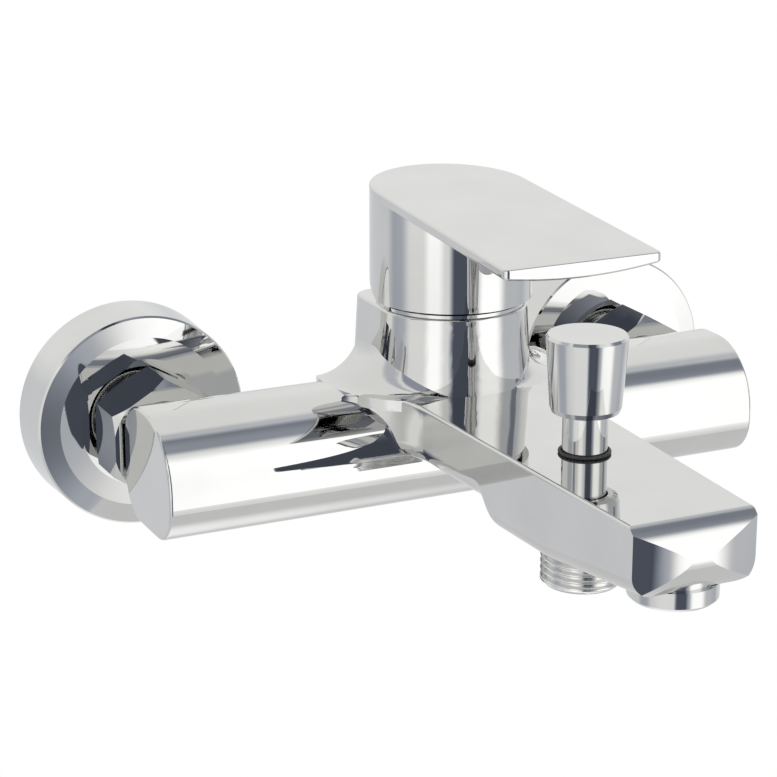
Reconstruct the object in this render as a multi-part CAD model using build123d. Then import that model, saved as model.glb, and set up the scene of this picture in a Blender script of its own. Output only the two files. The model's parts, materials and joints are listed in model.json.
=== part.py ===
"""Wall mounted single-lever bath faucet with a pull-up shower diverter, one STEP file per piece.

Millimetres. +X runs along the wall to the user's right, +Y into the wall, +Z up.
The origin is on the finished wall, midway between the two inlets.
"""

from build123d import *
import math
import os

# --- supply side -----------------------------------------------------------------------------
INLET_HALF = 75.0          # half the standard 150 mm spacing of the supplies
G12_R = 20.955 / 2         # G1/2 thread, major radius
G34_R = 26.441 / 2         # G3/4 thread, major radius
ECCENTRICITY = 5.0         # offset between the two threads of an eccentric union
TAIL_LENGTH = 18.0         # how far a union reaches into the wall
UNION_END = -28.5          # y of the union's sealing face
ROSETTE_R = 30.5
ROSETTE_RIM_R = 29.9
ROSETTE_DEPTH = 16.0
ROSETTE_WALL = 1.2
NUT_FLATS = 30.0
NUT_BACK = -20.2
NUT_FRONT = -36.4
NUT_LIP = 3.0
WASHER = 2.0

# --- body casting ----------------------------------------------------------------------------
AXIS_Y = -56.0             # distance of the cartridge axis from the wall
BAR_HALF = 88.0
BAR_BACK = -38.0
BAR_FRONT = -72.5
BAR_TOP = 15.0
BAR_BOTTOM = -17.0
BAR_CORNER = 11.0
BAR_BROW = 18.0            # larger radius between the bar's top and its front
EDGE = 0.8                 # softening of the polished casting's edges
SPOUT_FRONT = -179.2       # front edge of the flat spout top
SPOUT_NOSE = 5.3           # how far the front face bulges past that edge
SPOUT_CROWN = 3.2          # how much the front face is crowned, seen from above
SPOUT_HALF_REAR = 21.6
SPOUT_HALF_FRONT = 16.8
SPOUT_FLARE = 9.0          # plan radius between the spout's side and the bar
BELLY_BOTTOM = -7.0
NECK_BOTTOM = -1.5
FRONT_BOTTOM = -2.5
BELLY_CORNER = 5.5
TOWER_TOP = 36.0
TOWER_R_TOP = 20.8
TOWER_TAPER = 3.0          # degrees of draft on the tower
TOWER_REAR = 20.0          # how far the tower reaches behind the cartridge axis
TOWER_REAR_CORNER = 6.0

# --- cartridge -------------------------------------------------------------------------------
SEAT_FLOOR = 5.0
SEAT_R = 17.6
RETAINER_R = 19.0
RETAINER_SEAT = 29.5
PIVOT_Z = 26.0             # height of the pin that the lever tilts on
PORT_X = 6.5
PORT_R = 3.2
OUTLET_PORT_Y = AXIS_Y - 10.0
STEM_HALF = 3.9
STEM_TOP = 56.0
BALL_Z = 18.9
BALL_R = 2.0
RUNNING = 0.05             # radial clearance of a running fit

# --- handle ----------------------------------------------------------------------------------
HANDLE_R = 22.0
HANDLE_WALL = 1.8
HANDLE_REACH = 72.0        # from the cartridge axis to the front edge
HANDLE_TOP = 67.7          # height of the plate's top above the cartridge axis
HANDLE_SLOPE = 3.6         # degrees that the plate falls towards the user
PLATE = 4.2
PLATE_CROWN = 1.7          # how much thinner the plate is at its sides
SKIRT_BOTTOM = 37.8
SKIRT_RELIEF = 26.0        # degrees that the skirt's rear edge is cut back for the lift
BOSS_R = 8.0
BOSS_BOTTOM = 47.8
GRUB_Z = 51.0
DOME_R = 21.6              # spherical cover, centred on the lever pin

# --- diverter and outlets --------------------------------------------------------------------
DIVERTER_Y = -130.0
CHAMBER_R = 8.2
UPPER_SEAT = 2.8
UPPER_CHAMBER = 4.3
BONNET_FOOT = 9.5
BONNET_FOOT_R = 7.1
BONNET_R = 5.7
BONNET_TOP = 36.0
BONNET_BORE = 4.7
ROD_R = 2.5
KNOB_BOTTOM = 25.5
KNOB_TOP = 45.5
KNOB_R_TOP = 10.2
KNOB_R_BOTTOM = 9.0
KNOB_CAVITY = 41.0
NIPPLE_THREAD_R = 11.0     # the nipple's upper thread, inside the belly
NIPPLE_TOP = -2.0
NIPPLE_BOTTOM = -19.0
LOWER_SEAT = -9.0
AERATOR_Y = -172.6
AERATOR_R = 10.9
AERATOR_THREAD_R = 10.0
AERATOR_BOTTOM = -7.3

parts = {}


def column(radius, z_low, z_high, x=0.0, y=0.0):
    """A solid cylinder standing on z_low."""
    return Pos(x, y, z_low) * extrude(Circle(radius), z_high - z_low)


def tube(outer, inner, z_low, z_high, x=0.0, y=0.0):
    """A hollow cylinder standing on z_low."""
    return Pos(x, y, z_low) * extrude(Circle(outer) - Circle(inner), z_high - z_low)


def bar_along_y(radius, y_low, y_high, x=0.0, z=0.0):
    """A solid cylinder along Y, from y_low to y_high."""
    plane = Plane(origin=(x, y_low, z), x_dir=(1, 0, 0), z_dir=(0, 1, 0))
    return extrude(plane * Circle(radius), y_high - y_low)


def bar_along_x(radius, x_low, x_high, y, z):
    """A solid cylinder along X, from x_low to x_high."""
    plane = Plane(origin=(x_low, y, z), x_dir=(0, 1, 0), z_dir=(1, 0, 0))
    return extrude(plane * Circle(radius), x_high - x_low)


def turned(profile, x=0.0, y=0.0):
    """A solid turned about a vertical axis, from (radius, z) points."""
    face = Plane.XZ * make_face(Polyline(*profile, close=True))
    return Pos(x, y, 0) * revolve(face, Axis.Z, 360)


def turned_about_y(profile, x=0.0, z=0.0):
    """A solid turned about an axis along Y, from (radius, y) points."""
    face = make_face(Polyline(*profile, close=True))
    return Pos(x, 0, z) * revolve(face, Axis.Y, 360)


def ring_seal(centre_r, section_r, z, x=0.0, y=0.0):
    """An O-ring lying flat at height z."""
    return Pos(x, y, z) * Torus(centre_r, section_r)


# --- supply side -----------------------------------------------------------------------------


def eccentric_union(x):
    """The offset adapter: its G1/2 tail is in the wall and its G3/4 collar faces the faucet."""
    tail = bar_along_y(G12_R, -3.0, TAIL_LENGTH, x, ECCENTRICITY)
    shoulder = bar_along_y(G12_R + ECCENTRICITY + 0.6, -8.0, -2.0, x)
    collar = bar_along_y(G34_R, UNION_END, -8.0, x)
    waterway = bar_along_y(7.2, -6.0, TAIL_LENGTH, x, ECCENTRICITY) + bar_along_y(9.4, UNION_END, -6.0, x)
    return tail + shoulder + collar - waterway


def rosette(x):
    """A pressed cup that hides the hole in the wall, with a shallow domed face and a crisp rim."""
    rim = -ROSETTE_DEPTH
    hole = G34_R + 0.3
    outside = [
        (ROSETTE_R, -0.2),
        (ROSETTE_RIM_R, rim + 0.5),
        (ROSETTE_RIM_R - 0.5, rim),
        (24.0, rim - 0.7),
        (18.0, rim - 1.1),
        (hole, rim - 1.2),
    ]
    inside = [
        (hole, rim - 1.2 + ROSETTE_WALL),
        (24.0, rim - 0.7 + ROSETTE_WALL),
        (ROSETTE_RIM_R - ROSETTE_WALL, rim + ROSETTE_WALL),
        (ROSETTE_R - ROSETTE_WALL, -0.2),
    ]
    return turned_about_y(outside + inside, x)


def union_nut(x):
    """A hexagon nut, chamfered at both ends, with an inward lip that pulls on the nipple's flange."""
    length = NUT_BACK - NUT_FRONT
    plane = Plane(origin=(x, NUT_FRONT, 0), x_dir=(0, 0, 1), z_dir=(0, 1, 0))
    corner_r = NUT_FLATS / math.sqrt(3)
    hexagon = extrude(plane * RegularPolygon(corner_r, 6), length)
    chamfer_r = NUT_FLATS / 2 + 0.4
    barrel = [
        (0, NUT_FRONT),
        (chamfer_r, NUT_FRONT),
        (corner_r + 0.2, NUT_FRONT + 2.2),
        (corner_r + 0.2, NUT_BACK - 1.4),
        (chamfer_r, NUT_BACK),
        (0, NUT_BACK),
    ]
    thread = bar_along_y(G34_R + 0.1, NUT_FRONT + NUT_LIP, NUT_BACK, x)
    mouth = bar_along_y(G12_R + 0.3, NUT_FRONT, NUT_FRONT + NUT_LIP, x)
    return (hexagon & turned_about_y(barrel, x)) - thread - mouth


def inlet_nipple(x):
    """The flanged tail screwed into the body: the nut turns behind its flange."""
    flange_front = NUT_FRONT + NUT_LIP + 0.1
    flange_back = UNION_END - WASHER
    stub = bar_along_y(G12_R - 0.02, BAR_BACK - 12.0, flange_front, x)
    flange = bar_along_y(12.7, flange_front, flange_back, x)
    key = Plane(origin=(x, flange_back - 8.0, 0), x_dir=(0, 0, 1), z_dir=(0, 1, 0))
    hexagon_socket = extrude(key * RegularPolygon(8.0, 6), 8.0)
    return stub + flange - hexagon_socket - bar_along_y(6.4, BAR_BACK - 12.0, flange_back, x)


def union_washer(x):
    """A flat rubber seal between the union and the nipple."""
    back = UNION_END - WASHER
    return bar_along_y(12.6, back, UNION_END, x) - bar_along_y(9.0, back, UNION_END, x)


def strainer(x):
    """A perforated disc seated inside the washer, which keeps grit out of the cartridge."""
    disc = bar_along_y(8.9, UNION_END - 1.5, UNION_END - 0.7, x)
    for ring_r, count in ((2.6, 6), (5.2, 12), (7.4, 18)):
        for index in range(count):
            angle = 2 * math.pi * index / count
            hole_x = x + ring_r * math.cos(angle)
            disc -= bar_along_y(0.8, UNION_END - 2.0, UNION_END, hole_x, ring_r * math.sin(angle))
    return disc


# --- body casting ----------------------------------------------------------------------------


def cross_bar():
    """The horizontal body, a rounded bar with flat ends."""
    plane = Plane(
        origin=(-BAR_HALF, (BAR_BACK + BAR_FRONT) / 2, (BAR_TOP + BAR_BOTTOM) / 2),
        x_dir=(0, 1, 0),
        z_dir=(1, 0, 0),
    )
    section = Rectangle(BAR_BACK - BAR_FRONT, BAR_TOP - BAR_BOTTOM)
    brow = [v for v in section.vertices() if v.X < 0 < v.Y]
    section = fillet(brow, BAR_BROW)
    others = [v for v in section.vertices() if v.X * v.Y > 60.0 or v.X > 0 > v.Y]
    section = fillet(others, BAR_CORNER)
    bar = extrude(plane * section, 2 * BAR_HALF)
    return fillet([e for e in bar.edges() if abs(e.center().X) > BAR_HALF - 0.01], EDGE)


def spout_plan():
    """The spout seen from above: tapered sides that flare into the bar."""
    taper = (SPOUT_HALF_REAR - SPOUT_HALF_FRONT) / (AXIS_Y - SPOUT_FRONT)
    flare_start = BAR_FRONT - SPOUT_FLARE
    flare_end = BAR_FRONT + BAR_CORNER
    flare_x = SPOUT_HALF_REAR - taper * (AXIS_Y - flare_start)
    front = SPOUT_FRONT - SPOUT_NOSE - 0.1 + SPOUT_CROWN
    front_x = SPOUT_HALF_FRONT + taper * (front - SPOUT_FRONT)
    wide_x = flare_x + 1.6 * SPOUT_FLARE
    side = Line((front_x, front), (flare_x, flare_start))
    flare = TangentArc((flare_x, flare_start), (wide_x, flare_end), tangent=(taper, 1))
    rear = Line((wide_x, flare_end), (0, flare_end))
    centre = Line((0, flare_end), (0, front - SPOUT_CROWN))
    nose = TangentArc((0, front - SPOUT_CROWN), (front_x, front), tangent=(1, 0))
    half = make_face(Wire([side.edge(), flare.edge(), rear.edge(), centre.edge(), nose.edge()]))
    return extrude(half + mirror(half, Plane.YZ), BAR_TOP - BELLY_BOTTOM)


def spout_side():
    """The spout seen from the side: flat top, bulging front, and a belly under the diverter."""
    rear = BAR_FRONT + BAR_CORNER
    front_low = SPOUT_FRONT - 2.0
    belly = DIVERTER_Y - 12.0
    swell_end = DIVERTER_Y + 22.0
    edges = [
        Line((rear, BAR_TOP), (SPOUT_FRONT, BAR_TOP)),
        ThreePointArc((SPOUT_FRONT, BAR_TOP), (SPOUT_FRONT - SPOUT_NOSE, 5.0), (front_low, FRONT_BOTTOM)),
        Line((front_low, FRONT_BOTTOM), (belly, BELLY_BOTTOM)),
        Line((belly, BELLY_BOTTOM), (DIVERTER_Y + 12.0, BELLY_BOTTOM)),
        Spline((DIVERTER_Y + 12.0, BELLY_BOTTOM), (swell_end, NECK_BOTTOM), tangents=[(1, 0), (1, 0)]),
        Line((swell_end, NECK_BOTTOM), (rear, NECK_BOTTOM)),
        Line((rear, NECK_BOTTOM), (rear, BAR_TOP)),
    ]
    plane = Plane(origin=(-60, 0, 0), x_dir=(0, 1, 0), z_dir=(1, 0, 0))
    return extrude(plane * make_face(Wire([e.edge() for e in edges])), 120)


def spout():
    """The spout: its plan and its side view intersected, with rounded lower edges."""
    solid = (Pos(0, 0, BELLY_BOTTOM) * spout_plan()) & spout_side()
    lower = [e for e in solid.edges() if e.center().Z < 1.0 and abs(e.center().X) > 10.0]
    solid = fillet([e for e in lower if e.length > 2.0], BELLY_CORNER)
    upper = [e for e in solid.edges() if e.center().Z > BAR_TOP - 0.01 and e.center().Y < BAR_FRONT - 2.0]
    return fillet(upper, EDGE)


def tower_section(half_width, rear):
    """The tower seen from above: round in front, square with rounded corners behind."""
    front = Circle(half_width)
    back = Pos(0, rear / 2) * Rectangle(2 * half_width, rear)
    outline = front + back
    rear_corners = [v for v in outline.vertices() if v.Y > rear - 0.01]
    return fillet(rear_corners, TOWER_REAR_CORNER)


def tower():
    """The upright that holds the cartridge, drafted so that it is widest where it meets the bar."""
    section = Pos(0, AXIS_Y, TOWER_TOP) * tower_section(TOWER_R_TOP, TOWER_REAR)
    drop = TOWER_TOP - BAR_TOP + 4.0
    upright = extrude(section, -drop, taper=-TOWER_TAPER)
    return fillet([e for e in upright.edges() if e.center().Z > TOWER_TOP - 0.01], EDGE)


def rear_boss():
    """The swelling behind the bar that covers the back of the cartridge seat."""
    height = BAR_TOP + 2.0
    block = Pos(0, AXIS_Y + 9.0, -2.0 + height / 2) * Box(2 * TOWER_R_TOP, 2 * (TOWER_REAR - 7.8), height)
    low_edges = [e for e in block.edges() if e.center().Y > AXIS_Y + 15.0 and e.center().Z < BAR_TOP - 1.0]
    return fillet(low_edges, 4.0)


def shoulder_web(side):
    """The concave sweep that carries one flank of the tower into the top of the bar.

    It is lofted through upright triangular sections that turn about the tower, and its radius
    dies away towards the front.
    """
    sections = []
    tower_r = TOWER_R_TOP - 1.0
    for angle, radius in ((-90, 13.0), (0, 13.0), (22, 10.0), (44, 6.0), (62, 2.2)):
        if angle < 0:
            origin = (side * tower_r, AXIS_Y + TOWER_REAR - TOWER_REAR_CORNER, BAR_TOP)
            outward = (side, 0, 0)
        else:
            turn = math.radians(angle)
            outward = (side * math.cos(turn), -math.sin(turn), 0)
            origin = (tower_r * outward[0], AXIS_Y + tower_r * outward[1], BAR_TOP)
        plane = Plane(origin=origin, x_dir=outward, z_dir=(outward[1], -outward[0], 0))
        reach = radius + 1.0
        middle = (reach - radius * math.sin(math.pi / 4), radius * (1 - math.cos(math.pi / 4)))
        low = Line((-2.0, -3.0), (reach, -3.0))
        toe = Line((reach, -3.0), (reach, 0.0))
        sweep = ThreePointArc((reach, 0.0), middle, (1.0, radius))
        head = Line((1.0, radius), (-2.0, radius))
        root = Line((-2.0, radius), (-2.0, -3.0))
        sections.append(plane * make_face(Wire([e.edge() for e in (low, toe, sweep, head, root)])))
    return loft(sections)


def body_outside():
    """The outer form of the casting, before any machining."""
    solid = cross_bar() + spout() + tower() + rear_boss()
    for side in (-1, 1):
        solid += shoulder_web(side)
    return solid


def supply_waterways():
    """Both supplies: the inlet thread, the run along the bar and the riser under the cartridge."""
    cuts = []
    for side in (-1, 1):
        x = side * INLET_HALF
        cuts.append(bar_along_y(G12_R, BAR_BACK - 12.0, BAR_BACK + 1.0, x))
        cuts.append(bar_along_y(7.0, AXIS_Y - 6.0, BAR_BACK, x))
        low, high = sorted((side * PORT_X, side * (INLET_HALF + 3.0)))
        cuts.append(bar_along_x(4.6, low, high, AXIS_Y, -3.0))
        cuts.append(column(PORT_R, -3.0, SEAT_FLOOR, side * PORT_X, AXIS_Y))
    return cuts


def mixed_waterways():
    """From the cartridge's outlet through the neck and the diverter to the spout's mouth."""
    neck_z = 5.8
    riser_y = DIVERTER_Y + 12.2
    return [
        column(PORT_R, 0.4, SEAT_FLOOR, 0, OUTLET_PORT_Y),
        Pos(0, OUTLET_PORT_Y - 7.0, 2.3) * Box(9.0, 16.0, 4.2),
        bar_along_y(3.6, riser_y, OUTLET_PORT_Y - 11.5, 0, neck_z),
        column(3.4, -2.0, neck_z, 0, riser_y),
        Pos(0, DIVERTER_Y + 9.0, -0.6) * Box(7.2, 8.0, 6.0),
        column(CHAMBER_R, BELLY_BOTTOM - 1.0, UPPER_SEAT, 0, DIVERTER_Y),
        column(5.2, UPPER_SEAT, UPPER_CHAMBER, 0, DIVERTER_Y),
        column(BONNET_FOOT_R, UPPER_CHAMBER, BAR_TOP + 1.0, 0, DIVERTER_Y),
        bar_along_y(3.1, AERATOR_Y - 2.0, DIVERTER_Y - 5.0, 0, 7.6),
        column(6.5, 0.0, 8.0, 0, AERATOR_Y),
        column(NIPPLE_THREAD_R + 0.02, BELLY_BOTTOM - 1.0, NIPPLE_TOP, 0, DIVERTER_Y),
        column(AERATOR_THREAD_R, FRONT_BOTTOM - 4.0, 2.6, 0, AERATOR_Y),
        column(AERATOR_R + 0.3, FRONT_BOTTOM - 6.0, FRONT_BOTTOM, 0, AERATOR_Y),
    ]


def body_casting():
    """Bar, tower and spout as one brass casting with its seats, threads and waterways."""
    solid = body_outside()
    cuts = supply_waterways() + mixed_waterways()
    cuts.append(column(SEAT_R, SEAT_FLOOR, TOWER_TOP + 1.0, 0, AXIS_Y))
    cuts.append(column(RETAINER_R, RETAINER_SEAT, TOWER_TOP + 1.0, 0, AXIS_Y))
    for side in (-1, 1):
        cuts.append(column(1.6, SEAT_FLOOR - 2.2, SEAT_FLOOR, side * 9.0, AXIS_Y + 9.5))
    for cut in cuts:
        solid -= cut
    return solid


# --- cartridge -------------------------------------------------------------------------------


def cartridge_ports(radius, z_low, z_high):
    """The three port holes shared by the base and the fixed disc."""
    return (
        column(radius, z_low, z_high, -PORT_X, AXIS_Y)
        + column(radius, z_low, z_high, PORT_X, AXIS_Y)
        + column(radius, z_low, z_high, 0, OUTLET_PORT_Y)
    )


def cartridge_base():
    """The moulded foot with its ports, seal grooves and two locating pegs."""
    solid = column(SEAT_R - 0.1, SEAT_FLOOR, 9.0, 0, AXIS_Y) - cartridge_ports(PORT_R, SEAT_FLOOR, 9.0)
    solid -= cartridge_ports(5.2, SEAT_FLOOR, SEAT_FLOOR + 1.2)
    for side in (-1, 1):
        solid += column(1.5, SEAT_FLOOR - 2.0, SEAT_FLOOR, side * 9.0, AXIS_Y + 9.5)
    return solid


def cartridge_port_seals():
    """Three rubber rings between the base and the casting."""
    rings = []
    for x, y in ((-PORT_X, AXIS_Y), (PORT_X, AXIS_Y), (0, OUTLET_PORT_Y)):
        rings.append(tube(5.1, PORT_R + 0.2, SEAT_FLOOR, SEAT_FLOOR + 1.2, x, y))
    return Compound(children=rings)


def fixed_disc():
    """The lower ceramic disc, held in the base, with one hole over each port."""
    return column(15.4, 9.0, 13.0, 0, AXIS_Y) - cartridge_ports(PORT_R - 0.4, 9.0, 13.0)


def moving_disc():
    """The upper ceramic disc, whose pocket joins the supplies to the outlet."""
    disc = column(11.0, 13.05, 16.5, 0, AXIS_Y)
    pocket = Pos(0, AXIS_Y + 1.0, 13.05) * extrude(SlotCenterToCenter(5.0, 6.0), 1.8)
    return disc - pocket


def disc_carrier():
    """The moulded cap on the moving disc, with a socket for the lever's ball."""
    cap = column(11.4, 16.5, 20.0, 0, AXIS_Y)
    return cap - column(BALL_R + 0.14, 16.8, 20.0, 0, AXIS_Y)


def cartridge_housing():
    """The moulded shell around the discs and the rotor."""
    profile = [
        (SEAT_R - 0.1, 9.0),
        (SEAT_R - 0.1, RETAINER_SEAT),
        (15.5, RETAINER_SEAT),
        (15.5, 35.0),
        (11.0, 35.0),
        (11.0, 33.6),
        (14.0, 33.6),
        (14.0, RETAINER_SEAT - 0.4),
        (15.9, RETAINER_SEAT - 0.4),
        (15.9, 9.0),
    ]
    return turned(profile, 0, AXIS_Y)


def cartridge_rotor():
    """The swivelling core: it carries the lever pin and turns with the handle."""
    profile = [
        (0, 20.3),
        (15.8, 20.3),
        (15.8, RETAINER_SEAT - 0.8),
        (13.95, RETAINER_SEAT - 0.8),
        (13.95, 30.4),
        (12.5, 30.4),
        (12.5, 32.0),
        (13.95, 32.0),
        (13.95, 33.3),
        (0, 33.3),
    ]
    core = turned(profile, 0, AXIS_Y)
    slot = Pos(0, AXIS_Y + 1.6, 27.0) * Box(2 * STEM_HALF + 1.0, 16.0, 16.0)
    pin_hole = bar_along_x(1.5, -13.0, 13.0, AXIS_Y, PIVOT_Z)
    return core - slot - pin_hole


def rotor_seal():
    """The O-ring in the rotor's groove."""
    return tube(13.94, 12.5, 30.45, 31.95, 0, AXIS_Y)


def lever_pin():
    """The steel pin that the lever tilts on."""
    return bar_along_x(1.5, -13.0, 13.0, AXIS_Y, PIVOT_Z)


def cartridge_lever():
    """The square stem above the pin and the ball-ended tail below it."""
    foot_z = PIVOT_Z - 3.0
    height = STEM_TOP - foot_z
    stem = Pos(0, AXIS_Y, foot_z + height / 2) * Box(2 * STEM_HALF, 2 * STEM_HALF, height)
    tail = column(1.6, BALL_Z, foot_z, 0, AXIS_Y) + Pos(0, AXIS_Y, BALL_Z) * Sphere(BALL_R)
    pin_hole = bar_along_x(1.5 + RUNNING, -STEM_HALF, STEM_HALF, AXIS_Y, PIVOT_Z)
    return stem + tail - pin_hole


def cartridge_nut():
    """The brass retainer screwed into the tower, with a hexagon for the spanner."""
    collar = tube(RETAINER_R - 0.05, 15.6, RETAINER_SEAT + 0.1, 35.2, 0, AXIS_Y)
    deck = tube(RETAINER_R - 0.05, 12.6, 35.2, TOWER_TOP, 0, AXIS_Y)
    hexagon = Pos(0, AXIS_Y, TOWER_TOP) * extrude(RegularPolygon(15.5, 6), 3.0)
    return collar + deck + (hexagon - column(12.6, TOWER_TOP, TOWER_TOP + 3.0, 0, AXIS_Y))


def cartridge_dome():
    """The polished cover over the retainer: a zone of a sphere centred on the lever pin."""
    shell = Sphere(DOME_R) - Sphere(DOME_R - 1.0)
    zone = Pos(0, 0, 13.1) * Box(3 * DOME_R, 3 * DOME_R, 6.2)
    return Pos(0, AXIS_Y, PIVOT_Z) * (shell & zone)


def trim_ring():
    """The thin sliding ring in the gap between the tower and the handle."""
    return tube(TOWER_R_TOP - 0.5, DOME_R - 1.9, TOWER_TOP, TOWER_TOP + 0.9, 0, AXIS_Y)


# --- handle ----------------------------------------------------------------------------------


def handle_plan():
    """The handle seen from above: round over the cartridge, straight sides, a square front."""
    round_end = Circle(HANDLE_R)
    blade = Pos(0, -HANDLE_REACH / 2) * Rectangle(2 * HANDLE_R, HANDLE_REACH)
    outline = round_end + blade
    front_corners = [v for v in outline.vertices() if v.Y < 0.01 - HANDLE_REACH]
    return fillet(front_corners, 1.6)


def handle_plate():
    """The flat top plate, falling gently towards its front edge."""
    slab_height = 40.0
    prism = Pos(0, AXIS_Y, HANDLE_TOP - slab_height) * extrude(handle_plan(), 2 * slab_height)
    centre = Location((0, AXIS_Y, HANDLE_TOP - PLATE / 2), (HANDLE_SLOPE, 0, 0))
    slab = centre * Box(6 * HANDLE_R, 3 * HANDLE_REACH, PLATE)
    crown_r = (HANDLE_R**2 + PLATE_CROWN**2) / (2 * PLATE_CROWN)
    crown_axis = Plane(origin=(0, 3 * HANDLE_REACH, crown_r - PLATE / 2), x_dir=(1, 0, 0), z_dir=(0, -1, 0))
    underside = centre * extrude(crown_axis * Circle(crown_r), 6 * HANDLE_REACH)
    plate = prism & slab & underside
    return fillet(plate.faces().sort_by(Axis.Z)[-1].edges(), 0.6)


def handle_skirt():
    """The drum under the plate, cut back behind so that the handle can be lifted."""
    within_plate = Location((0, AXIS_Y, HANDLE_TOP - 0.9), (HANDLE_SLOPE, 0, 0))
    drum = column(HANDLE_R - 0.03, SKIRT_BOTTOM, HANDLE_TOP + 5.0, 0, AXIS_Y)
    drum = drum & (within_plate * Pos(0, 0, -50.0) * Box(150, 150, 100))
    hollow = column(HANDLE_R - HANDLE_WALL, SKIRT_BOTTOM, HANDLE_TOP - PLATE - 2.4, 0, AXIS_Y)
    hinge_line = Location((0, AXIS_Y, SKIRT_BOTTOM), (SKIRT_RELIEF, 0, 0))
    relief = hinge_line * Pos(0, 30.0, -20.0) * Box(90, 60, 40)
    return drum - hollow - relief


def handle():
    """The cast lever: plate, drum and the boss that grips the cartridge's stem."""
    under_plate = HANDLE_TOP - PLATE / 2 - 1.0
    boss = column(BOSS_R, BOSS_BOTTOM, under_plate, 0, AXIS_Y)
    socket = Pos(0, AXIS_Y, (BOSS_BOTTOM + STEM_TOP) / 2) * Box(
        2 * STEM_HALF + 0.1, 2 * STEM_HALF + 0.1, STEM_TOP - BOSS_BOTTOM + 0.1
    )
    solid = handle_plate() + handle_skirt() + boss - socket
    solid -= bar_along_y(2.5, AXIS_Y - BOSS_R - 0.5, AXIS_Y - STEM_HALF, 0, GRUB_Z)
    solid -= bar_along_y(3.0, AXIS_Y - HANDLE_R - 1.0, AXIS_Y - HANDLE_R + HANDLE_WALL + 0.6, 0, GRUB_Z)
    return solid


def handle_grub_screw():
    """The socket-headed grub screw that clamps the handle on the stem."""
    front = AXIS_Y - BOSS_R - 0.5
    screw = bar_along_y(2.45, front, AXIS_Y - STEM_HALF, 0, GRUB_Z)
    key = Plane(origin=(0, front, GRUB_Z), x_dir=(1, 0, 0), z_dir=(0, 1, 0))
    return screw - extrude(key * RegularPolygon(1.45, 6), 2.2)


def index_plug():
    """The small cap that closes the screw hole."""
    face = AXIS_Y - HANDLE_R
    plug = bar_along_y(2.95, face + 0.1, face + HANDLE_WALL, 0, GRUB_Z)
    dome = Pos(0, face + 3.6, GRUB_Z) * Sphere(4.7)
    cap = dome & bar_along_y(2.95, face - 1.5, face + 0.1, 0, GRUB_Z)
    return plug + cap


# --- diverter --------------------------------------------------------------------------------


def diverter_bonnet():
    """The chromed sleeve screwed into the spout, which guides the rod and houses its spring."""
    profile = [
        (BONNET_BORE, BONNET_FOOT),
        (BONNET_FOOT_R - 0.02, BONNET_FOOT),
        (BONNET_FOOT_R - 0.02, BAR_TOP),
        (BONNET_R, BAR_TOP),
        (BONNET_R, BONNET_TOP - 0.8),
        (BONNET_R - 0.8, BONNET_TOP),
        (ROD_R + RUNNING, BONNET_TOP),
        (ROD_R + RUNNING, BONNET_TOP - 3.0),
        (BONNET_BORE, BONNET_TOP - 3.0),
    ]
    return turned(profile, 0, DIVERTER_Y)


def bonnet_seal():
    """The black ring around the foot of the bonnet."""
    return ring_seal(BONNET_R + 0.5, 0.45, BAR_TOP + 0.47, 0, DIVERTER_Y)


def gland_plug():
    """The guide pressed into the bonnet's foot, grooved for the rod's O-ring."""
    profile = [
        (ROD_R + RUNNING, BONNET_FOOT),
        (BONNET_BORE, BONNET_FOOT),
        (BONNET_BORE, 15.8),
        (ROD_R + RUNNING, 15.8),
        (ROD_R + RUNNING, 13.6),
        (4.1, 13.6),
        (4.1, 11.8),
        (ROD_R + RUNNING, 11.8),
    ]
    return turned(profile, 0, DIVERTER_Y)


def rod_seal():
    """The O-ring that seals the diverter rod."""
    return ring_seal(3.31, 0.78, 12.7, 0, DIVERTER_Y)


def diverter_rod():
    """The rod from the knob down to the valve, with the collar that the spring presses on."""
    profile = [
        (0, -12.4),
        (ROD_R - 0.5, -12.4),
        (ROD_R, -11.9),
        (ROD_R, 17.0),
        (BONNET_BORE - 0.3, 17.0),
        (BONNET_BORE - 0.3, 18.2),
        (ROD_R, 18.2),
        (ROD_R, KNOB_CAVITY),
        (2.0, KNOB_CAVITY),
        (2.0, KNOB_CAVITY + 2.6),
        (0, KNOB_CAVITY + 2.6),
    ]
    return turned(profile, 0, DIVERTER_Y)


def diverter_spring():
    """The return spring between the rod's collar and the bonnet's shoulder."""
    wire_r = 0.32
    low = 18.2 + wire_r
    high = BONNET_TOP - 3.0 - wire_r
    path = Helix(pitch=(high - low) / 7, height=high - low, radius=3.9)
    start = path @ 0
    section = Plane(origin=start, z_dir=path % 0) * Circle(wire_r)
    coil = sweep(section, path=path, is_frenet=True)
    return Pos(0, DIVERTER_Y, low) * coil


def diverter_knob():
    """The tapered pull knob, hollow below so that it slides over the bonnet."""
    profile = [
        (BONNET_R + 0.4, KNOB_BOTTOM),
        (KNOB_R_BOTTOM - 1.6, KNOB_BOTTOM),
        (KNOB_R_BOTTOM - 0.5, KNOB_BOTTOM + 0.5),
        (KNOB_R_BOTTOM, KNOB_BOTTOM + 1.8),
        (KNOB_R_TOP, KNOB_TOP - 0.7),
        (KNOB_R_TOP - 0.5, KNOB_TOP),
        (0, KNOB_TOP),
        (0, KNOB_CAVITY + 2.7),
        (2.02, KNOB_CAVITY + 2.7),
        (2.02, KNOB_CAVITY),
        (BONNET_R + 0.4, KNOB_CAVITY),
    ]
    return turned(profile, 0, DIVERTER_Y)


def diverter_poppet():
    """The brass valve disc on the rod."""
    return tube(6.7, ROD_R, -7.9, -5.2, 0, DIVERTER_Y)


def poppet_seals():
    """The two rubber faces of the valve, one for each seat."""
    lower = tube(6.5, ROD_R, LOWER_SEAT + 0.1, -7.9, 0, DIVERTER_Y)
    upper = tube(6.5, ROD_R, -5.2, -4.2, 0, DIVERTER_Y)
    return Compound(children=[lower, upper])


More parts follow.
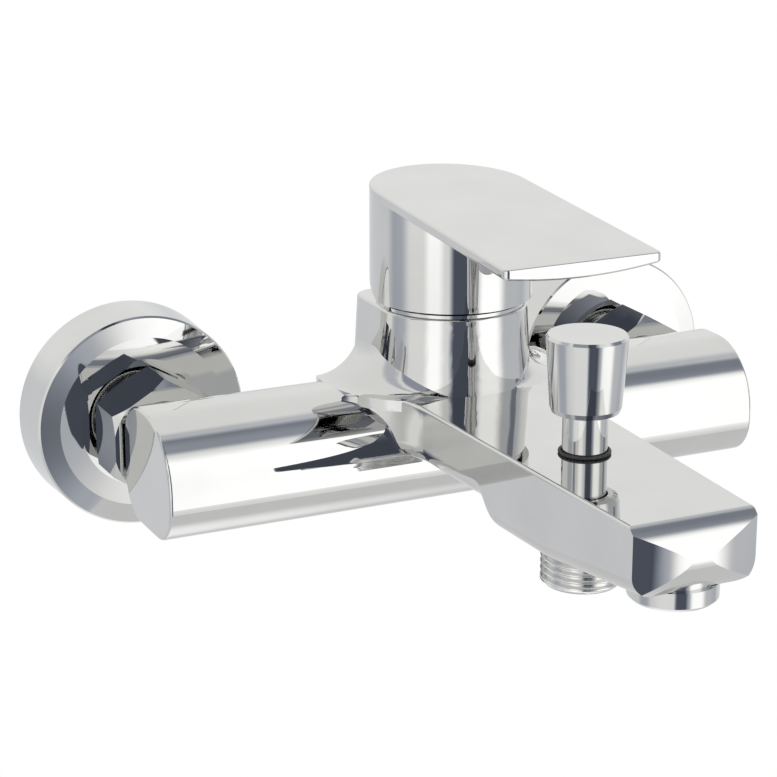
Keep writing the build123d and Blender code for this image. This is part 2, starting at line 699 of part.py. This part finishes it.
def poppet_nut():
    """The nut that holds the valve disc and its seals on the rod."""
    hexagon = Pos(0, DIVERTER_Y, LOWER_SEAT - 2.1) * extrude(RegularPolygon(4.2, 6), 2.2)
    return hexagon - column(ROD_R, LOWER_SEAT - 2.1, LOWER_SEAT + 0.1, 0, DIVERTER_Y)


# --- outlets ---------------------------------------------------------------------------------


def shower_outlet_nipple():
    """The G1/2 outlet for the hose, screwed up into the belly: its bore holds the lower seat."""
    chamfer = 1.1
    profile = [
        (CHAMBER_R, NIPPLE_TOP),
        (NIPPLE_THREAD_R, NIPPLE_TOP),
        (NIPPLE_THREAD_R, BELLY_BOTTOM - 0.1),
        (G12_R, BELLY_BOTTOM - 0.6),
        (G12_R, NIPPLE_BOTTOM + chamfer),
        (G12_R - chamfer, NIPPLE_BOTTOM),
        (7.4, NIPPLE_BOTTOM),
        (7.4, LOWER_SEAT - 2.2),
        (5.0, LOWER_SEAT - 2.2),
        (5.0, LOWER_SEAT),
        (CHAMBER_R, LOWER_SEAT),
    ]
    return turned(profile, 0, DIVERTER_Y)


def aerator_housing():
    """The chromed shell of the aerator, screwed up into the spout."""
    step = FRONT_BOTTOM - 0.1
    profile = [
        (9.0, AERATOR_BOTTOM),
        (AERATOR_R - 0.8, AERATOR_BOTTOM),
        (AERATOR_R, AERATOR_BOTTOM + 0.8),
        (AERATOR_R, step),
        (AERATOR_THREAD_R - 0.05, step),
        (AERATOR_THREAD_R - 0.05, 1.6),
        (8.6, 1.6),
        (8.6, AERATOR_BOTTOM + 1.0),
        (9.0, AERATOR_BOTTOM + 1.0),
    ]
    return turned(profile, 0, AERATOR_Y)


def aerator_insert():
    """The moulded flow former with rings of holes."""
    disc = column(8.55, AERATOR_BOTTOM + 1.2, -2.6, 0, AERATOR_Y)
    for ring_r, count in ((2.2, 6), (4.4, 12), (6.7, 18)):
        for index in range(count):
            angle = 2 * math.pi * index / count
            hole_x = ring_r * math.cos(angle)
            hole_y = AERATOR_Y + ring_r * math.sin(angle)
            disc -= column(0.75, AERATOR_BOTTOM, 0.0, hole_x, hole_y)
    return disc


def aerator_screen():
    """The fine domed screen above the flow former."""
    cup = tube(8.5, 7.9, -2.5, 1.2, 0, AERATOR_Y) + column(8.5, 1.2, 1.6, 0, AERATOR_Y)
    for ring_r, count in ((2.6, 6), (5.2, 12)):
        for index in range(count):
            angle = 2 * math.pi * index / count
            hole_x = ring_r * math.cos(angle)
            hole_y = AERATOR_Y + ring_r * math.sin(angle)
            cup -= column(0.9, 0.5, 2.0, hole_x, hole_y)
    return cup


def aerator_washer():
    """The flat rubber washer that the aerator is tightened against."""
    return tube(9.9, 7.6, 1.6, 2.6, 0, AERATOR_Y)


# --- assembly --------------------------------------------------------------------------------

for name, side in (("left", -1), ("right", 1)):
    x = side * INLET_HALF
    parts[f"eccentric_union_{name}"] = eccentric_union(x)
    parts[f"rosette_{name}"] = rosette(x)
    parts[f"union_nut_{name}"] = union_nut(x)
    parts[f"inlet_nipple_{name}"] = inlet_nipple(x)
    parts[f"union_washer_{name}"] = union_washer(x)
    parts[f"strainer_{name}"] = strainer(x)

for maker in (
    body_casting,
    cartridge_base,
    cartridge_port_seals,
    fixed_disc,
    moving_disc,
    disc_carrier,
    cartridge_housing,
    cartridge_rotor,
    rotor_seal,
    lever_pin,
    cartridge_lever,
    cartridge_nut,
    cartridge_dome,
    trim_ring,
    handle,
    handle_grub_screw,
    index_plug,
    diverter_bonnet,
    bonnet_seal,
    gland_plug,
    rod_seal,
    diverter_rod,
    diverter_spring,
    diverter_knob,
    diverter_poppet,
    poppet_seals,
    poppet_nut,
    shower_outlet_nipple,
    aerator_housing,
    aerator_insert,
    aerator_screen,
    aerator_washer,
):
    parts[maker.__name__] = maker()

os.makedirs("parts", exist_ok=True)
for node, solid in parts.items():
    export_step(solid, f"parts/{node}.step")
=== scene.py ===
"""Looks of the wall mounted bath faucet: finishes, outlet thread, return spring and studio, in metres."""

import json
import math

import bmesh
import bpy
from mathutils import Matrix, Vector


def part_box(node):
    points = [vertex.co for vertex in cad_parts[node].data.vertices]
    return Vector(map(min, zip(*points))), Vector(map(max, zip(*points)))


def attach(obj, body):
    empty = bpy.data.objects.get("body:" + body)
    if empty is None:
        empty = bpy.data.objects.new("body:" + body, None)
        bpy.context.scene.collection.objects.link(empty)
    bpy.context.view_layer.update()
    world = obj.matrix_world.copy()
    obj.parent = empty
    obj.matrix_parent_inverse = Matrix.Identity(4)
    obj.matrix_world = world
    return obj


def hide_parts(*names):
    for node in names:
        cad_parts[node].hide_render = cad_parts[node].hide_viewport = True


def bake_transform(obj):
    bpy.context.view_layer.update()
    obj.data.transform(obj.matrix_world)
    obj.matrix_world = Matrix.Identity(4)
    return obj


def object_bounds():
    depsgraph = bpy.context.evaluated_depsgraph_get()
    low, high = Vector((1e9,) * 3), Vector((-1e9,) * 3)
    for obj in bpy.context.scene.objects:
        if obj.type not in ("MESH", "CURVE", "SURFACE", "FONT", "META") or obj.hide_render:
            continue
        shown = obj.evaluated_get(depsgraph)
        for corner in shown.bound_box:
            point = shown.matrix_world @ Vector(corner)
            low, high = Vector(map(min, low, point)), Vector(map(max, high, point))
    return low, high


CAMERA_AZIMUTH = -25.3     # degrees, to the left of the faucet's front
CAMERA_ELEVATION = 17.3
CAMERA_DISTANCE = 0.680
CAMERA_TARGET = Vector((-0.0063, -0.030, 0.0042))
CAMERA_LENS = 111.2        # mm on a 36 mm sensor
FLOOR_DROP = 0.55          # how far the floor lies under the wall-held faucet
FLOOR_RADIUS = 0.9
FLOOR_GREYS = ((0.3, (0.22, 0.22, 0.22)), (0.7, (0.24, 0.24, 0.24)))
FLOOR_GLOW = ((0.1, 1.0), (0.4, 0.52))     # distance from the middle, and how bright the floor is there

# The room as the chrome reflects it. Azimuths are in degrees from the faucet's front, tilts are in
# degrees from straight up towards the front, and heights are sines of the elevation.
GAPS = (            # darker stretches of wall: azimuth, half width, softness, how dark
    (-11.0, 10.0, 10.0, 0.92),
    (7.0, 2.0, 9.0, 0.45),
    (-107.0, 6.0, 16.0, 0.34),
    (76.0, 14.0, 22.0, 0.30),
)
BEAM = (21.0, 9.0, 9.0, 0.60)      # dark beam on the ceiling: tilt, half width, softness, how dark
PANELS = (          # azimuth, half width, softness, height, half height, softness, brightness
    (-50.0, 5.0, 12.0, 0.16, 0.36, 0.20, 0.50),
    (33.0, 10.0, 16.0, 0.12, 0.45, 0.20, 0.60),
)
BRIGHTEST = 2.0
ROOM_TINTS = (      # the room's colour at each part of BRIGHTEST: its dark stretches are bluish
    (0.0, (0.03, 0.04, 0.07)),
    (0.25, (0.46, 0.49, 0.56)),
    (0.5, (1.0, 1.0, 0.99)),
    (1.0, (2.0, 2.0, 2.0)),
)
REAR_START = 0.3    # where the room begins to darken towards its lower rear, and where it has done so
REAR_END = 0.9
REAR_LEVEL = 0.80   # how bright it is there

SOFTBOX_SIDE = 0.9
SOFTBOX_DISTANCE = 1.5

MM = 0.001
G12_RADIUS = 10.4775 * MM  # the shower outlet's G1/2 thread
G12_PITCH = 25.4 / 14 * MM
G12_DEPTH = 1.162 * MM
THREAD_ROWS = 12           # points along one pitch
THREAD_STEPS = 96          # points around one turn
SHARP_ANGLE = 55           # degrees: steeper edges stay sharp

PLATED = ("eccentric_union", "inlet_nipple")     # nodes whose brass gets a dull plating

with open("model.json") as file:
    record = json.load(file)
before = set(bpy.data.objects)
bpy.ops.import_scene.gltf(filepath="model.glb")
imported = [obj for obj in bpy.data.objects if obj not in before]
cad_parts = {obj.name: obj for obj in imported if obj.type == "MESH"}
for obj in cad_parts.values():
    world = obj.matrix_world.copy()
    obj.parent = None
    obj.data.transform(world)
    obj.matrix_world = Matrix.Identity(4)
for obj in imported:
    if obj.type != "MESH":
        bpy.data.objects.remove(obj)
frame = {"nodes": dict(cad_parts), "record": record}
cad_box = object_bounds()


# --- materials -------------------------------------------------------------------------------


def new_material(name):
    """A material with a plain Principled shader, and what is needed to add nodes to it."""
    material = bpy.data.materials.new(name)
    material.use_nodes = True
    nodes = material.node_tree.nodes
    shader = nodes["Principled BSDF"]
    return material, nodes, material.node_tree.links, shader


def noise(nodes, links, scale, detail=3.0, stretch=(1.0, 1.0, 1.0), roughness=0.5):
    """Noise in the object's own space; stretch makes it run along an axis."""
    place = nodes.new("ShaderNodeTexCoord")
    mapping = nodes.new("ShaderNodeMapping")
    mapping.inputs["Scale"].default_value = stretch
    texture = nodes.new("ShaderNodeTexNoise")
    texture.inputs["Scale"].default_value = scale
    texture.inputs["Detail"].default_value = detail
    texture.inputs["Roughness"].default_value = roughness
    links.new(place.outputs["Object"], mapping.inputs["Vector"])
    links.new(mapping.outputs["Vector"], texture.inputs["Vector"])
    return texture.outputs["Fac"]


def ramp(nodes, links, value, stops):
    """A colour ramp over value; stops are (position, colour) pairs."""
    node = nodes.new("ShaderNodeValToRGB")
    for element, (position, colour) in zip(node.color_ramp.elements, (stops[0], stops[-1])):
        element.position = position
        element.color = (*colour, 1)
    for position, colour in stops[1:-1]:
        node.color_ramp.elements.new(position).color = (*colour, 1)
    links.new(value, node.inputs["Fac"])
    return node.outputs["Color"]


def spread(nodes, links, value, low, high):
    """Maps noise, which lies mostly between 0.3 and 0.7, onto low to high."""
    node = nodes.new("ShaderNodeMapRange")
    node.inputs["From Min"].default_value = 0.3
    node.inputs["From Max"].default_value = 0.7
    node.inputs["To Min"].default_value = low
    node.inputs["To Max"].default_value = high
    links.new(value, node.inputs["Value"])
    return node.outputs["Result"]


def bump(nodes, links, shader, value, distance, strength=1.0):
    """Turns value into a height, distance metres from low to high."""
    node = nodes.new("ShaderNodeBump")
    node.inputs["Strength"].default_value = strength
    node.inputs["Distance"].default_value = distance
    links.new(value, node.inputs["Height"])
    links.new(node.outputs["Normal"], shader.inputs["Normal"])


def metal(name, bright, dull, rough, grain, height, stretch=(1.0, 1.0, 1.0)):
    """A metal whose tint and roughness vary from bright to dull, with a fine surface relief."""
    material, nodes, links, shader = new_material(name)
    patches = noise(nodes, links, 55.0, 4.0)
    shader.inputs["Metallic"].default_value = 1.0
    links.new(ramp(nodes, links, patches, ((0.3, dull), (0.7, bright))), shader.inputs["Base Color"])
    fine = noise(nodes, links, grain, 5.0, stretch)
    links.new(spread(nodes, links, fine, rough[0], rough[1]), shader.inputs["Roughness"])
    bump(nodes, links, shader, fine, height)
    return material


def moulded(name, light, dark, rough, grain, height, coat=0.0):
    """A plastic, rubber or ceramic with faint mottling and a moulded grain."""
    material, nodes, links, shader = new_material(name)
    patches = noise(nodes, links, 180.0, 3.0)
    links.new(ramp(nodes, links, patches, ((0.3, dark), (0.7, light))), shader.inputs["Base Color"])
    fine = noise(nodes, links, grain, 2.0)
    links.new(spread(nodes, links, fine, rough[0], rough[1]), shader.inputs["Roughness"])
    shader.inputs["Coat Weight"].default_value = coat
    shader.inputs["Coat Roughness"].default_value = 0.08
    bump(nodes, links, shader, fine, height)
    return material


MATERIALS = {
    "polished_chrome": metal(
        "polished_chrome", (0.66, 0.66, 0.65), (0.62, 0.62, 0.61), (0.012, 0.045), 38.0, 0.000012
    ),
    "outlet_thread": metal(
        "outlet_thread", (0.80, 0.80, 0.79), (0.68, 0.68, 0.66), (0.10, 0.24), 900.0, 0.00003
    ),
    "brass": metal("brass", (0.83, 0.66, 0.38), (0.70, 0.52, 0.27), (0.18, 0.38), 1500.0, 0.00004),
    "nut_brass": metal("nut_brass", (0.80, 0.64, 0.37), (0.66, 0.50, 0.26), (0.16, 0.32), 1200.0, 0.00003),
    "stainless_steel": metal(
        "stainless_steel", (0.66, 0.66, 0.65), (0.52, 0.52, 0.52), (0.16, 0.34), 700.0, 0.00002, (1, 1, 12)
    ),
    "seal_rubber": moulded(
        "seal_rubber", (0.035, 0.035, 0.037), (0.016, 0.016, 0.017), (0.42, 0.65), 1800.0, 0.00006
    ),
    "ceramic": moulded(
        "ceramic", (0.93, 0.91, 0.86), (0.86, 0.83, 0.77), (0.10, 0.22), 900.0, 0.00001, 0.4
    ),
    "cartridge_plastic": moulded(
        "cartridge_plastic", (0.84, 0.84, 0.81), (0.76, 0.76, 0.72), (0.35, 0.52), 1400.0, 0.00003
    ),
    "flow_plastic": moulded(
        "flow_plastic", (0.78, 0.80, 0.82), (0.66, 0.69, 0.72), (0.28, 0.45), 1400.0, 0.00003
    ),
    "index_plastic": moulded(
        "index_plastic", (0.50, 0.51, 0.54), (0.42, 0.43, 0.46), (0.16, 0.30), 1600.0, 0.00002, 0.5
    ),
}
SLOT_OF = {entry["node"]: entry["material_slot"] for entry in frame["record"]["subparts"]}


def dress(obj, slot):
    """Gives obj the finish of one of the record's material slots."""
    obj.data.materials.clear()
    obj.data.materials.append(MATERIALS[slot])


for name, node in frame["nodes"].items():
    dress(node, "outlet_thread" if name.startswith(PLATED) else SLOT_OF[name])
    for polygon in node.data.polygons:
        polygon.use_smooth = True


# --- threads ---------------------------------------------------------------------------------


def thread_rows(top, bottom):
    """(radius, height, cut) rows down a G1/2 thread; the cut grows in at the top and runs out below."""
    count = round((top - bottom) / G12_PITCH * THREAD_ROWS)
    rows = []
    for index in range(count + 1):
        height = top + (bottom - top) * index / count
        fade = min(1.0, (top - height) / G12_PITCH, (height - bottom) / (G12_PITCH / 3))
        rows.append((G12_RADIUS, height, G12_DEPTH * fade))
    return rows


def outlet_rows(low, high, collar):
    """The outlet's closed outline: down its collar and thread, and back up through its bore and seat."""
    chamfer = 1.1 * MM
    bore = 7.4 * MM
    chamber = 8.2 * MM
    seat = 5.0 * MM
    thread_top = high.z - 5.6 * MM
    thread_bottom = low.z + chamfer
    seat_top = high.z - 7.0 * MM
    seat_bottom = high.z - 9.2 * MM
    rows = [(chamber, high.z, 0.0), (collar, high.z, 0.0), (collar, thread_top + 0.5 * MM, 0.0)]
    rows += thread_rows(thread_top, thread_bottom)
    rows += [(G12_RADIUS - chamfer, low.z, 0.0), (bore, low.z, 0.0), (bore, seat_bottom, 0.0)]
    rows += [(seat, seat_bottom, 0.0), (seat, seat_top, 0.0), (chamber, seat_top, 0.0)]
    return rows


def shower_outlet():
    """The shower outlet nipple with its real thread, in the CAD nipple's place and size."""
    low, high = (Vector(corner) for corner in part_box("shower_outlet_nipple"))
    middle = (low + high) / 2
    shape = bmesh.new()
    rings = []
    for radius, height, cut in outlet_rows(low, high, high.x - middle.x):
        ring = []
        for step in range(THREAD_STEPS):
            turn = step / THREAD_STEPS
            groove = (1 - math.cos(2 * math.pi * (height / G12_PITCH + turn))) / 2
            angle = 2 * math.pi * turn
            reach = radius - cut * groove
            point = (middle.x + reach * math.cos(angle), middle.y + reach * math.sin(angle), height)
            ring.append(shape.verts.new(point))
        rings.append(ring)
    for index, ring in enumerate(rings):
        below = rings[(index + 1) % len(rings)]
        for step in range(THREAD_STEPS):
            beside = (step + 1) % THREAD_STEPS
            shape.faces.new((ring[step], below[step], below[beside], ring[beside]))
    bmesh.ops.recalc_face_normals(shape, faces=shape.faces)
    mesh = bpy.data.meshes.new("shower_outlet_thread")
    shape.to_mesh(mesh)
    shape.free()
    for polygon in mesh.polygons:
        polygon.use_smooth = True
    mesh.set_sharp_from_angle(angle=math.radians(SHARP_ANGLE))
    piece = bpy.data.objects.new("shower_outlet_thread", mesh)
    bpy.context.scene.collection.objects.link(piece)
    dress(piece, "outlet_thread")
    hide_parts("shower_outlet_nipple")
    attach(piece, "body")


shower_outlet()


# --- spring ----------------------------------------------------------------------------------


def diverter_spring():
    """The diverter's return spring, which in the faucet shortens as the knob lifts the rod's collar under
    it; here a fixed copy of the CAD spring with its placement baked in.
    """
    rest = frame["nodes"]["diverter_spring"]
    piece = bpy.data.objects.new("return_spring", rest.data.copy())
    bpy.context.scene.collection.objects.link(piece)
    dress(piece, SLOT_OF["diverter_spring"])
    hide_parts("diverter_spring")
    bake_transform(piece)


diverter_spring()


# --- studio ----------------------------------------------------------------------------------


def math_node(nodes, links, operation, first, second=None):
    """A Math node; each operand is a socket or a number."""
    node = nodes.new("ShaderNodeMath")
    node.operation = operation
    for index, operand in enumerate((first, second)):
        if isinstance(operand, bpy.types.NodeSocket):
            links.new(operand, node.inputs[index])
        elif operand is not None:
            node.inputs[index].default_value = operand
    return node.outputs["Value"]


def floor():
    """A plain disc far below the faucet, brightest right under it; the camera itself sees it white."""
    mesh = bpy.data.meshes.new("floor")
    shape = bmesh.new()
    bmesh.ops.create_circle(shape, cap_ends=True, radius=FLOOR_RADIUS, segments=96)
    shape.to_mesh(mesh)
    shape.free()
    disc = bpy.data.objects.new("floor", mesh)
    disc.location = (0, 0, cad_box[0][2] - FLOOR_DROP)
    bpy.context.scene.collection.objects.link(disc)
    material, nodes, links, shader = new_material("floor_paper")
    shader.inputs["Roughness"].default_value = 0.9
    shader.inputs["Specular IOR Level"].default_value = 0.1
    paper = ramp(nodes, links, noise(nodes, links, 3.0), FLOOR_GREYS)
    links.new(paper, shader.inputs["Base Color"])
    place = nodes.new("ShaderNodeTexCoord")
    distance = nodes.new("ShaderNodeVectorMath")
    distance.operation = "LENGTH"
    links.new(place.outputs["Object"], distance.inputs[0])
    glow = nodes.new("ShaderNodeMapRange")
    glow.interpolation_type = "SMOOTHSTEP"
    for end, (reach, brightness) in zip(("Min", "Max"), FLOOR_GLOW):
        glow.inputs["From " + end].default_value = reach
        glow.inputs["To " + end].default_value = brightness
    links.new(distance.outputs["Value"], glow.inputs["Value"])
    rays = nodes.new("ShaderNodeLightPath")
    seen = math_node(nodes, links, "MAXIMUM", glow.outputs["Result"], rays.outputs["Is Camera Ray"])
    links.new(seen, shader.inputs["Emission Strength"])
    shader.inputs["Emission Color"].default_value = (1.0, 1.0, 1.0, 1)
    mesh.materials.append(material)


def soft_band(nodes, links, value, centre, half, softness):
    """1 where value is within half of centre, fading to 0 over softness."""
    away = math_node(nodes, links, "ABSOLUTE", math_node(nodes, links, "SUBTRACT", value, centre))
    fade = nodes.new("ShaderNodeMapRange")
    fade.interpolation_type = "SMOOTHSTEP"
    fade.inputs["From Min"].default_value = half + softness
    fade.inputs["From Max"].default_value = half
    links.new(away, fade.inputs["Value"])
    return fade.outputs["Result"]


def studio_world():
    """A pale room with darker gaps, a beam and bright panels, which only the reflections see.

    The camera itself sees plain white.
    """
    world = bpy.data.worlds.new("studio")
    bpy.context.scene.world = world
    world.use_nodes = True
    nodes, links = world.node_tree.nodes, world.node_tree.links
    place = nodes.new("ShaderNodeTexCoord")
    axes = nodes.new("ShaderNodeSeparateXYZ")
    links.new(place.outputs["Generated"], axes.inputs["Vector"])
    height = axes.outputs["Z"]
    forward = math_node(nodes, links, "MULTIPLY", axes.outputs["Y"], -1.0)
    azimuth = math_node(nodes, links, "ARCTAN2", axes.outputs["X"], forward)
    tilt = math_node(nodes, links, "ARCTAN2", forward, height)

    light = 1.0
    shades = [(azimuth, *gap) for gap in GAPS] + [(tilt, *BEAM)]
    for angle, *shade, darkness in shades:
        band = soft_band(nodes, links, angle, *(math.radians(part) for part in shade))
        kept = math_node(nodes, links, "SUBTRACT", 1.0, math_node(nodes, links, "MULTIPLY", band, darkness))
        light = math_node(nodes, links, "MULTIPLY", light, kept)
    for *across_band, level, half_height, soft_height, brightness in PANELS:
        across = soft_band(nodes, links, azimuth, *(math.radians(part) for part in across_band))
        along = soft_band(nodes, links, height, level, half_height, soft_height)
        panel = math_node(nodes, links, "MULTIPLY", across, along)
        glow = math_node(nodes, links, "MULTIPLY", panel, brightness)
        light = math_node(nodes, links, "ADD", light, glow)
    rear = nodes.new("ShaderNodeMapRange")
    rear.interpolation_type = "SMOOTHSTEP"
    rear.inputs["From Min"].default_value = REAR_START
    rear.inputs["From Max"].default_value = REAR_END
    rear.inputs["To Min"].default_value = 1.0
    rear.inputs["To Max"].default_value = REAR_LEVEL
    lift = math_node(nodes, links, "MULTIPLY", height, 2.0)
    behind = math_node(nodes, links, "SUBTRACT", axes.outputs["Y"], lift)
    links.new(behind, rear.inputs["Value"])
    light = math_node(nodes, links, "MULTIPLY", light, rear.outputs["Result"])

    tint = ramp(nodes, links, math_node(nodes, links, "DIVIDE", light, BRIGHTEST), ROOM_TINTS)
    rays = nodes.new("ShaderNodeLightPath")
    seen = nodes.new("ShaderNodeMix")
    seen.data_type = "RGBA"
    seen.inputs["B"].default_value = (1, 1, 1, 1)
    links.new(rays.outputs["Is Camera Ray"], seen.inputs["Factor"])
    links.new(tint, seen.inputs["A"])
    links.new(seen.outputs["Result"], nodes["Background"].inputs["Color"])


def softbox(name, azimuth, elevation, power):
    """A soft light on the matte pieces from a compass direction; the chrome reflects the room instead."""
    light = bpy.data.lights.new(name, "AREA")
    light.shape = "RECTANGLE"
    light.size = SOFTBOX_SIDE
    light.size_y = SOFTBOX_SIDE
    light.energy = power
    lamp = bpy.data.objects.new(name, light)
    lamp.visible_glossy = False
    a, e = math.radians(azimuth), math.radians(elevation)
    away = Vector((math.sin(a) * math.cos(e), -math.cos(a) * math.cos(e), math.sin(e)))
    centre = (Vector(cad_box[0]) + Vector(cad_box[1])) / 2
    lamp.location = centre + SOFTBOX_DISTANCE * away
    lamp.rotation_euler = away.to_track_quat("Z", "Y").to_euler()
    bpy.context.scene.collection.objects.link(lamp)


def camera():
    """The camera at the photograph's angle and distance."""
    data = bpy.data.cameras.new("camera")
    data.lens = CAMERA_LENS
    data.sensor_width = 36.0
    data.clip_start = 0.01
    eye = bpy.data.objects.new("camera", data)
    a, e = math.radians(CAMERA_AZIMUTH), math.radians(CAMERA_ELEVATION)
    back = Vector((math.sin(a) * math.cos(e), -math.cos(a) * math.cos(e), math.sin(e)))
    eye.location = CAMERA_TARGET + CAMERA_DISTANCE * back
    eye.rotation_euler = back.to_track_quat("Z", "Y").to_euler()
    bpy.context.scene.collection.objects.link(eye)
    bpy.context.scene.camera = eye


floor()
studio_world()
softbox("key_light", azimuth=-50, elevation=40, power=10.0)
softbox("fill_light", azimuth=60, elevation=30, power=5.0)
camera()
bpy.context.scene.view_settings.view_transform = "Standard"
